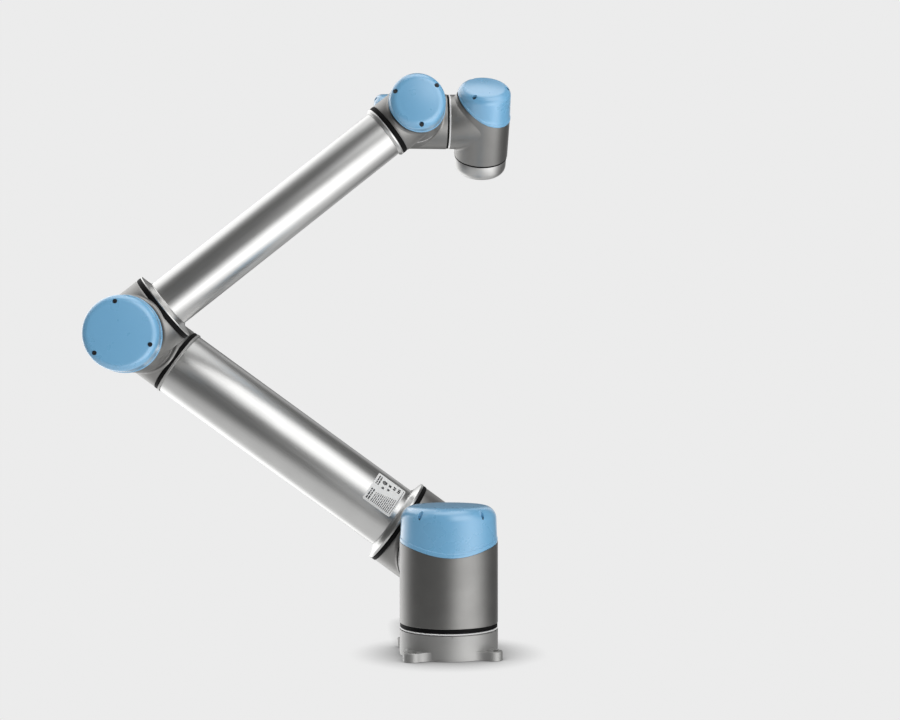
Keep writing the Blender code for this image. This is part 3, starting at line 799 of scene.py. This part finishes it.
def make_cap(module):
    size = module.size
    seat = screw_seat(size)
    places = [Matrix.Translation(polar(size.screw_circle, radians(degrees), seat))
              for degrees in size.screw_turns]
    mesh = combined("cap", cap_shell(size),
                    [drilled(plug(WELL_RADIUS, 0.03, 0.0), place) for place in places])
    add_piece(f"{module.name}_cap", mesh, module.world, module.body, CAP,
              [f"{module.name}_lid"])
    for i, place in enumerate(places):
        add_piece(f"{module.name}_cap_screw_{i + 1}", screw_head(HEAD_RADIUS, HEAD_HEIGHT),
                  module.world @ place, module.body, DARK_STEEL)


def screw_head(radius, height):
    """Round screw head with a six-lobed socket."""
    head = turned("head", rounded([(0.0, height, 0), (radius, height, 0.35 * MM),
                                   (radius, 0.05 * MM, 0), (0.0, 0.05 * MM, 0)]),
                  SMALL_ROUND)
    lobes = []
    for k in range(48):
        turn = tau * k / 48
        lobes.append(polar(radius * (0.5 + 0.07 * cos(6 * turn)), turn))
    socket = prism("socket", lobes, 0.35 * height, height + 0.002)
    return combined("screw", head, [("DIFFERENCE", socket)])


def make_seal(module):
    """Black ring between two turning pieces: two ribs with a fine groove between them."""
    size = module.size
    outer = size.radius - 0.7 * MM
    inner = NECK * size.radius + 1.2 * MM
    low, high = -module.reach, -module.reach + size.seal
    middle = (low + high) / 2
    groove = min(0.5 * MM, size.seal / 5)
    soft = min(0.5 * MM, size.seal / 6)
    outline = rounded([(inner, high, 0), (outer, high, soft), (outer, middle + groove, soft),
                       (outer - groove, middle, 0), (outer, middle - groove, soft),
                       (outer, low, soft), (inner, low, 0)])
    add_piece(f"{module.name}_seal", turned("seal", outline), module.world, module.body,
              RUBBER, [f"{module.name}_seal_ring"])


# ---- arm links

FLARE_SHARP = 24.0  # a flare's sharp edges turn by at least this, in degrees


def flare_outline(start, length, lip, wide, narrow, inner):
    """Collar that narrows from a casting's radius to a tube's, with a concave side."""
    steps = 20
    side = []
    for i in range(1, steps + 1):
        share = i / steps
        radius = narrow + (wide - narrow) * (1.0 - sin(share * pi / 2))
        side.append((radius, start + lip + (length - lip) * share))
    band = [(wide - 0.5 * MM, start), (wide - 0.15 * MM, start + 0.15 * MM),
            (wide, start + 0.5 * MM), (wide, start + lip - 0.5 * MM),
            (wide - 0.12 * MM, start + lip - 0.1 * MM), (wide - 0.5 * MM, start + lip)]
    return [(inner, start)] + band + side + [(inner, start + length)]


def gasket_outline(gasket, low):
    """Rubber ring with a rounded outer side."""
    thickness, inner, outer = gasket
    high = low + thickness
    middle = (low + high) / 2
    half = (high - low) / 2
    bulge = 0.22 * half
    points = []
    for i in range(13):
        angle = pi * (i / 12 - 0.5)
        points.append((outer - bulge + bulge * cos(angle), middle + half * sin(angle)))
    return [(inner, low)] + points + [(inner, high)]


@dataclass(frozen=True)
class Link:
    """Tube between two modules, with what joins it to each. Its frame's +Z runs along it."""

    body: str
    origin: Vector
    far_joint: Vector
    branch_ends: tuple  # where the two castings end, from their own axes
    gaskets: tuple  # thickness, inner and outer radius of each gasket
    flare: tuple  # length, height of the lip, widest and narrowest radius
    tube: float  # outer radius
    bore: float
    collar_name: str
    collar: tuple  # corners: radius, distance from the tube's end, rounding
    collar_finish: tuple  # material and slot
    nodes: tuple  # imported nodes: gasket, flare, tube, collar, gasket

    @property
    def world(self):
        return local_frame(self.origin, self.far_joint - self.origin, BACK)

    @property
    def start(self):
        """Where the flare and the tube start."""
        return self.branch_ends[0] + GAP + self.gaskets[0][0] + GAP


UPPER_ARM_LINK = Link(
    "upper_arm", SHOULDER, ELBOW, (SHOULDER_BRANCH_END, ELBOW_BRANCH_END),
    gaskets=((0.0070, 0.050, 0.0747), (0.0065, 0.046, 0.0564)),
    flare=(0.0120, 0.004, 0.0750, 0.0563), tube=0.05525, bore=0.05175,
    collar_name="upper_collar", collar_finish=(MACHINED, "machined"),
    collar=((0.0572, 0.0040, 0.5 * MM), (0.0572, 0.0, 0.5 * MM)),
    nodes=("upper_arm_shoulder_gasket", "upper_arm_shoulder_flare", "upper_arm_tube",
           "upper_arm_elbow_collar", "upper_arm_elbow_gasket"))
FOREARM_LINK = Link(
    "forearm", FORE_ELBOW, WRIST_1, (FOREARM_BRANCH_END, WRIST_BRANCH_END),
    gaskets=((0.0074, 0.034, 0.0576), (0.0074, 0.030, 0.0432)),
    flare=(0.0080, 0.002, 0.0578, 0.0398), tube=0.0388, bore=0.0358,
    collar_name="upper_flare", collar_finish=(TUBE, "tube"),
    collar=((0.0400, 0.0065, 0.3 * MM), (0.0432, 0.003, 1.5 * MM), (0.0432, 0.0, 0.5 * MM)),
    nodes=("forearm_elbow_gasket", "forearm_elbow_flare", "forearm_tube",
           "forearm_wrist_flare", "forearm_wrist_gasket"))


def make_link(link):
    length = (link.far_joint - link.origin).length
    end = length - link.branch_ends[1] - GAP - link.gaskets[1][0] - GAP
    outside = link.tube + GAP
    pipe = rounded([(link.tube, link.start, 0.4 * MM), (link.tube, end, 0.4 * MM),
                    (link.bore, end, 0), (link.bore, link.start, 0)])
    corners = [(radius, end - back, rounding) for radius, back, rounding in link.collar]
    collar = rounded([(outside, corners[0][1], 0), *corners, (outside, end, 0)])
    near, far = link.gaskets
    pieces = (
        ("lower_gasket", gasket_outline(near, link.branch_ends[0] + GAP), RUBBER, "black_rubber"),
        ("lower_flare", flare_outline(link.start, *link.flare, outside), TUBE, "tube"),
        ("pipe", pipe, TUBE, "tube"),
        (link.collar_name, collar, *link.collar_finish),
        ("upper_gasket", gasket_outline(far, end + GAP), RUBBER, "black_rubber"),
    )
    for (name, outline, material, slot), node in zip(pieces, link.nodes):
        sharp = FLARE_SHARP if name == "lower_flare" else 30.0
        add_piece(f"{link.body}_{name}", turned(name, outline, sharp_degrees=sharp),
                  link.world, link.body, material, [node])


# ---- type plate

PLATE_LENGTH = 0.055
PLATE_WIDTH = 0.060
PLATE_THICKNESS = 0.00025
PLATE_CORNER = 0.0012
PLATE_FROM_FLARE = 0.0075
INK_THICKNESS = 0.00006
PLATE_TURN = radians(212.0)  # round the tube, from the arm's back
PATCH_STEP = radians(3.0)


def curved_patch(shape, radius, along, turn, thickness, corner=0.0):
    """Adds a thin curved rectangle lying on a cylinder, between two heights and two turns."""
    low, high = along
    first, last = turn
    columns = max(1, ceil((last - first) / PATCH_STEP))
    grid = []
    for i in range(columns + 1):
        angle = first + (last - first) * i / columns
        inset = corner if i in (0, columns) and columns > 2 else 0.0
        spots = (low + inset, (low + high) / 2, high - inset)
        grid.append([shape.verts.new(polar(radius, angle, z)) for z in spots])
    faces = [shape.faces.new((here[j], there[j], there[j + 1], here[j + 1]))
             for here, there in zip(grid, grid[1:]) for j in (0, 1)]
    grown = bmesh.ops.extrude_face_region(shape, geom=faces)
    for item in grown["geom"]:
        if isinstance(item, bmesh.types.BMVert):
            item.co.xy *= 1.0 + thickness / radius


def make_type_plate(link):
    """White plate near the shoulder, with plain bars where a maker's text would be."""
    low = link.start + link.flare[0] + PLATE_FROM_FLARE
    radius = link.tube + 0.05 * MM
    half = PLATE_WIDTH / radius / 2
    shape = bmesh.new()
    curved_patch(shape, radius, (low, low + PLATE_LENGTH),
                 (PLATE_TURN - half, PLATE_TURN + half), PLATE_THICKNESS, PLATE_CORNER)
    add_piece("type_plate", finished("plate", shape), link.world, link.body, PLATE_WHITE)
    shape = bmesh.new()
    raised = radius + PLATE_THICKNESS
    for along, across, size_along, size_across in plate_bars():
        first = PLATE_TURN - half + (across / radius)
        curved_patch(shape, raised, (low + along, low + along + size_along),
                     (first, first + size_across / radius), INK_THICKNESS)
    add_piece("type_plate_print", finished("print", shape), link.world, link.body, PLATE_INK)


def printed_row(along, height, first, last, seed):
    """Bars of unlike widths in a row, as words would be, between two places across."""
    bars = []
    across = first
    step = seed
    while across < last:
        width = min(0.0020 + 0.0014 * ((5 * step) % 4), last - across)
        bars.append((along, across, height, width))
        across += width + 0.0011
        step += 1
    return bars


def printed_disc(along, across, radius):
    """Round mark, as strips that follow a circle's chords."""
    bars = []
    strips = 9
    for i in range(strips):
        offset = radius * (2 * i + 1 - strips) / strips
        chord = sqrt(radius ** 2 - offset ** 2)
        bars.append((along + offset, across - chord, 1.7 * radius / strips, 2 * chord))
    return bars


def plate_bars():
    """Generic print: (along, across, length, width) of each bar, in metres."""
    bars = []
    for i, along in enumerate((0.0490, 0.0450)):
        bars += printed_row(along, 0.0024, 0.034, 0.055, i)
        bars += printed_row(along, 0.0024, 0.004, 0.024, i + 2)
    for i in range(12):
        bars += printed_row(0.0060 + 0.0031 * i, 0.0013, 0.004, 0.030 - 0.0008 * i, i)
    bars += printed_disc(0.0370, 0.0460, 0.0044)
    bars += printed_disc(0.0360, 0.0345, 0.0024)
    bars += printed_disc(0.0265, 0.0375, 0.0022)
    for i in range(3):
        bars += printed_row(0.0080 + 0.0085 * i, 0.0046, 0.044, 0.054 - 0.002 * i, i)
    bars.append((0.0025, 0.004, 0.0008, 0.052))
    return bars


# ---- mounting bracket

GRIP_RADIUS = 0.0090  # cable gland's cap nut, over its ribs' roots
NUT_RADIUS = 0.0115  # over the corners


def lug_outline():
    """Foot plate: a disc with four lugs, joined to it by concave roundings."""
    fillet_reach = FOOT_RADIUS + LUG_FILLET
    lug_reach = LUG_RADIUS + LUG_FILLET
    half = acos((fillet_reach ** 2 + LUG_CIRCLE ** 2 - lug_reach ** 2)
                     / (2 * fillet_reach * LUG_CIRCLE))
    points = []
    for i in range(4):
        turn = LUG_TURN + i * pi / 2
        lug = polar(LUG_CIRCLE, turn)
        for side in (-1, 1):
            angle = turn + side * half
            centre = polar(fillet_reach, angle)
            inward = angle + pi
            to_lug = atan2(lug[1] - centre[1], lug[0] - centre[0])
            sweep = (to_lug - inward + pi) % tau - pi
            start, end = (inward, inward + sweep) if side < 0 else (inward + sweep, inward)
            points += arc(centre, LUG_FILLET, start, end, 10)
            if side < 0:
                from_lug = to_lug + pi
                opening = (turn - from_lug + pi) % tau - pi
                points += arc(lug, LUG_RADIUS, from_lug, from_lug + 2 * opening, 20)[1:-1]
        between = arc((0.0, 0.0), FOOT_RADIUS, turn + half, turn + pi / 2 - half, 22)
        points += between[1:-1]
    return points


def make_bracket():
    foot = prism("foot", lug_outline(), 0.0, FOOT_THICKNESS, 0.9 * MM)
    lip = BRACKET_TOP - 1.6 * MM
    groove = lip - 1.7 * MM
    deep = BRACKET_RADIUS - 3.0 * MM
    wall = rounded([(0.0, 0.003, 0), (BRACKET_RADIUS, 0.003, 0),
                    (BRACKET_RADIUS, groove, 0.2 * MM), (deep, groove, 0), (deep, lip, 0),
                    (BRACKET_RADIUS, lip, 0),
                    (BRACKET_RADIUS - 1.6 * MM, BRACKET_TOP, 0),
                    (0.0, BRACKET_TOP, 0)])
    bore = plug(BRACKET_BORE, BRACKET_FLOOR, BRACKET_TOP + 0.002)
    seat = FOOT_THICKNESS - COUNTERBORE_DEPTH
    hole = [(0.0, FOOT_THICKNESS + 0.006), (COUNTERBORE_RADIUS, FOOT_THICKNESS + 0.006),
            (COUNTERBORE_RADIUS, seat), (BOLT_HOLE_RADIUS, seat), (BOLT_HOLE_RADIUS, -0.002),
            (0.0, -0.002)]
    cuts = [("UNION", turned("wall", wall)), ("DIFFERENCE", turned("bore", bore))]
    for i in range(4):
        lug = polar(LUG_CIRCLE, LUG_TURN + i * pi / 2, 0.0)
        cuts.append(drilled(hole, Matrix.Translation(lug)))
    entry = local_frame((0.0, 0.0, GLAND_HEIGHT), BACK, RIGHT)
    passage = plug(GLAND_RADIUS + GAP, BRACKET_BORE - 0.004, BRACKET_RADIUS + 0.003)
    cuts.append(drilled(passage, entry))
    half = 0.8 * MM
    near, far = BRACKET_RADIUS - 1.3 * MM, BRACKET_RADIUS + 1.0 * MM
    mark = prism("mark", [(-half, -far), (half, -far), (half, -near), (-half, -near)],
                 groove - 3.5 * MM, groove - 0.3 * MM)
    cuts.append(("DIFFERENCE", mark))
    mesh = combined("bracket", foot, cuts)
    # The bracket's top rim gets the near-white painted highlight
    for face in mesh.polygons:
        if face.center.z > lip - 0.1 * MM and face.normal.z > -0.5:
            face.material_index = 1
    add_piece("mounting_bracket", mesh, Matrix.Identity(4), "base", [MACHINED, EDGE_HIGHLIGHT_PAINT],
              ["base_bracket"])
    return entry


def make_gland(entry):
    """Blank cable gland at the back: a hexagon nut, a ribbed cap nut and a round end."""
    face = BRACKET_RADIUS + 0.0006
    core = rounded([(0.0, face + 0.018, 0), (0.0055, face + 0.018, 1.2 * MM),
                    (GRIP_RADIUS, face + 0.014, 1.5 * MM), (GRIP_RADIUS, face + 0.006, 0),
                    (GLAND_RADIUS, face + 0.006, 0), (GLAND_RADIUS, BRACKET_BORE - 0.002, 0),
                    (0.0, BRACKET_BORE - 0.002, 0)])
    hexagon = [polar(NUT_RADIUS, tau * k / 6) for k in range(6)]
    nut = prism("nut", hexagon, face, face + 0.007, 0.6 * MM)
    ribs = []
    for k in range(96):
        turn = tau * k / 96
        ribs.append(polar(GRIP_RADIUS + 0.35 * MM * max(0.0, cos(16 * turn)), turn))
    grip = prism("grip", ribs, face + 0.0075, face + 0.0135, 0.3 * MM)
    mesh = combined("gland", turned("core", core, 64), [("UNION", nut), ("UNION", grip)])
    add_piece("cable_gland", mesh, entry, "base", PLASTIC, ["base_cable_gland"])


# ---- tool flange

PIN_HOLE_RADIUS = 0.0030
CONNECTOR_SEAT = 0.034  # from the flange's axis
CONNECTOR_POCKET = 0.0058  # radius
CONNECTOR_PIN_CIRCLE = 0.0023


def make_tool_flange():
    world = MODULES[-1].world
    top = -(TOOL_REACH + GAP)
    neck = NECK * SMALL.radius
    neck_top = -MODULES[-1].end + SMALL.end_wall
    face = -TOOL_FACE
    knee = top - 0.014
    inset = TOOL_FACE_RADIUS + 0.002
    side = []
    for i in range(13):
        angle = -pi / 2 * i / 12
        side.append((inset + (TOOL_RADIUS - inset) * cos(angle),
                     knee + (knee - face - 0.001) * sin(angle)))
    outline = [(neck, neck_top), (neck, top), (TOOL_RADIUS - 0.8 * MM, top),
               (TOOL_RADIUS - 0.2 * MM, top - 0.2 * MM), (TOOL_RADIUS, top - 0.8 * MM)] + side
    outline += [(TOOL_FACE_RADIUS + 0.8 * MM, face + 0.2 * MM), (TOOL_FACE_RADIUS, face),
                (CENTRING_RADIUS + 0.5 * MM, face), (CENTRING_RADIUS, face + 0.5 * MM),
                (CENTRING_RADIUS, face + CENTRING_DEPTH), (TOOL_PASSAGE, face + CENTRING_DEPTH),
                (TOOL_PASSAGE, neck_top)]
    cuts = []
    hole = [(0.0, face - 0.002), (0.0035, face - 0.002), (0.0035, face),
            (0.0025, face + 0.0010), (0.0025, face + 0.010), (0.0, face + 0.0115)]
    for i in range(4):
        place = polar(TOOL_BOLT_CIRCLE, radians(45) + i * pi / 2, 0.0)
        cuts.append(drilled(hole, Matrix.Translation(place)))
    cuts.append(drilled(plug(PIN_HOLE_RADIUS, face - 0.002, face + 0.006),
                        Matrix.Translation((TOOL_BOLT_CIRCLE, 0.0, 0.0))))
    socket = local_frame((0.0, 0.0, CONNECTOR_HEIGHT), BACK, RIGHT)
    cuts.append(drilled(plug(CONNECTOR_POCKET, CONNECTOR_SEAT, TOOL_RADIUS + 0.004), socket))
    mesh = combined("flange", turned("flange", outline), cuts)
    add_piece("tool_output_flange", mesh, world, "wrist_3", SATIN, ["tool_flange"])
    make_connector(world @ socket)


def make_connector(world):
    """Round eight-pin socket in the side of the tool flange, with +Z pointing out of it."""
    shell = rounded([(0.0, 0.0395, 0), (0.0036, 0.0395, 0), (0.0036, 0.0452, 0.2 * MM),
                     (0.0055, 0.0452, 0.4 * MM), (0.0055, 0.0343, 0), (0.0, 0.0343, 0)])
    pins = []
    for i in range(7):
        place = Matrix.Translation(polar(CONNECTOR_PIN_CIRCLE, tau * i / 7, 0.0))
        pins.append(("UNION", moved(connector_pin(), place)))
    pins.append(("UNION", connector_pin()))
    mesh = combined("connector", turned("shell", shell, SMALL_ROUND), pins)
    add_piece("tool_socket", mesh, world, "wrist_3", PLASTIC, ["tool_connector"])


def connector_pin():
    outline = [(0.0, 0.0390), (0.0004, 0.0390), (0.0004, 0.0430), (0.0, 0.0434)]
    return turned("pin", outline, 12)


# ---- the drives inside

def finish_inner_nodes():
    """Drives stay as packed. They turn inside the castings and only get a finish."""
    kinds = {"_gear_unit": GEAR_STEEL, "_motor": COPPER, "_control_board": BOARD,
             "_output_flange": FLANGE}
    for name, node in frame["nodes"].items():
        for ending, material in kinds.items():
            if name.endswith(ending):
                node.data.materials.clear()
                node.data.materials.append(material)


# ---- floor, light and camera

BACKDROP = 0.838  # linear brightness of floor and background
FLOOR_RADIUS = 1.25
FLOOR_DROP = 0.4 * MM  # keeps it off the bracket's underside
PAINTED_SHADOW_REACH = 0.080  # how near a surface paints shadow on the floor
PAINTED_SHADOW_POWER = 1.6
CAMERA_PLACE = (-0.1474, -2.1790, 0.4134)
CAMERA_TURN = (radians(90.943), 0.0, radians(-3.92))
CAMERA_LENS = 56.70
SENSOR_WIDTH = 36.0


def make_floor():
    """Pale disc that glows evenly, with a painted contact shadow: its glow darkens close to what
    stands on it.

    Metal doesn't mirror it, and sees the studio's light from below instead.
    """
    shape = bmesh.new()
    bmesh.ops.create_circle(shape, cap_ends=True, radius=FLOOR_RADIUS, segments=128)
    floor = new_object("floor", finished("floor", shape))
    floor.location.z = -FLOOR_DROP
    floor.visible_glossy = False
    material = bpy.data.materials.new("floor_pale_painted_shadow")
    material.use_nodes = True
    material.node_tree.nodes.clear()
    nodes = Nodes(material.node_tree)
    # Painted contact shadow: ambient occlusion dims the floor's glow near the arm
    nearness = nodes.node("ShaderNodeAmbientOcclusion", {"Distance": PAINTED_SHADOW_REACH}, samples=16)
    shade = nodes.math("POWER", nearness.outputs["AO"], PAINTED_SHADOW_POWER)
    glow = nodes.node("ShaderNodeEmission", {"Strength": nodes.math("MULTIPLY", shade, BACKDROP)})
    nodes.node("ShaderNodeOutputMaterial", {"Surface": glow.outputs[0]})
    floor.data.materials.append(material)


class Sky(Nodes):
    """Studio light as a world: soft panels placed by azimuth and elevation in degrees.

    Azimuth 0 is towards -Y, the front, and 90 towards +X.
    """

    def __init__(self):
        world = bpy.data.worlds.new("studio")
        bpy.context.scene.world = world
        world.use_nodes = True
        world.node_tree.nodes.clear()
        super().__init__(world.node_tree)
        direction = self.node("ShaderNodeTexCoord").outputs["Generated"]
        x, y, z = self.node("ShaderNodeSeparateXYZ", {0: direction}).outputs
        front = self.math("MULTIPLY", y, -1.0)
        self.azimuth = self.math("DEGREES", self.math("ARCTAN2", x, front))
        self.elevation = self.math("DEGREES", self.math("ARCSINE", z))
        self.total = None

    def step(self, source, start, end):
        """Smooth step from 0 at start to 1 at end."""
        sockets = {"Value": source, "From Min": start, "From Max": end}
        return self.node("ShaderNodeMapRange", sockets,
                         interpolation_type="SMOOTHSTEP").outputs[0]

    def window(self, source, low, high, soft_low, soft_high):
        """1 between two angles and 0 outside, over a softness in degrees at each end."""
        rise = self.step(source, low - soft_low, low + soft_low)
        fall = self.step(source, high + soft_high, high - soft_high)
        return self.math("MULTIPLY", rise, fall)

    def add(self, brightness, azimuths=None, elevations=None):
        """Adds light of one brightness, between limits that window takes."""
        level = brightness
        for source, limits in ((self.azimuth, azimuths), (self.elevation, elevations)):
            if limits is not None:
                level = self.math("MULTIPLY", self.window(source, *limits), level)
        self.total = level if self.total is None else self.math("ADD", self.total, level)

    def finish(self):
        """Shows a plain backdrop to the camera and the panels to everything else."""
        white = (1.0, 1.0, 1.0, 1.0)
        panels = self.node("ShaderNodeBackground", {"Color": white, "Strength": self.total})
        backdrop = self.node("ShaderNodeBackground", {"Color": white, "Strength": BACKDROP})
        seen = self.node("ShaderNodeLightPath").outputs["Is Camera Ray"]
        sockets = {0: seen, 1: panels.outputs[0], 2: backdrop.outputs[0]}
        mix = self.node("ShaderNodeMixShader", sockets)
        self.node("ShaderNodeOutputWorld", {"Surface": mix.outputs[0]})


def make_light():
    """Strip light in front on the right, a small one overhead, and pale walls behind."""
    sky = Sky()
    sky.add(0.13)
    sky.add(0.62, elevations=(-110.0, -34.0, 10.0, 11.0))
    sky.add(1.80, azimuths=(8.0, 78.0, 19.0, 30.0), elevations=(-48.0, -11.0, 10.0, 10.0))
    sky.add(1.35, azimuths=(27.0, 78.0, 28.0, 30.0), elevations=(-11.0, 12.0, 10.0, 10.0))
    sky.add(1.75, azimuths=(4.0, 66.0, 15.0, 24.0), elevations=(12.0, 56.0, 10.0, 8.0))
    sky.add(1.6, elevations=(64.0, 110.0, 8.0, 8.0))
    sky.add(1.6, azimuths=(-170.0, -122.0, 8.0, 26.0), elevations=(-40.0, 30.0, 12.0, 12.0))
    sky.add(1.5, azimuths=(-170.0, -90.0, 8.0, 34.0), elevations=(30.0, 58.0, 12.0, 10.0))
    sky.add(0.6, azimuths=(152.0, 166.0, 8.0, 8.0), elevations=(-30.0, 50.0, 8.0, 8.0))
    sky.finish()


def make_camera():
    camera = new_object("camera", bpy.data.cameras.new("camera"))
    camera.location = CAMERA_PLACE
    camera.rotation_euler = CAMERA_TURN
    camera.data.lens = CAMERA_LENS
    camera.data.sensor_width = SENSOR_WIDTH
    camera.data.clip_end = 50.0
    bpy.context.scene.camera = camera


# ---- assembly

for module in MODULES:
    make_housing(module)
    make_cap(module)
    if module.driven:
        make_seal(module)
make_link(UPPER_ARM_LINK)
make_type_plate(UPPER_ARM_LINK)
make_link(FOREARM_LINK)
make_gland(make_bracket())
make_tool_flange()
finish_inner_nodes()
make_floor()
make_light()
make_camera()
bpy.context.scene.view_settings.view_transform = "Standard"
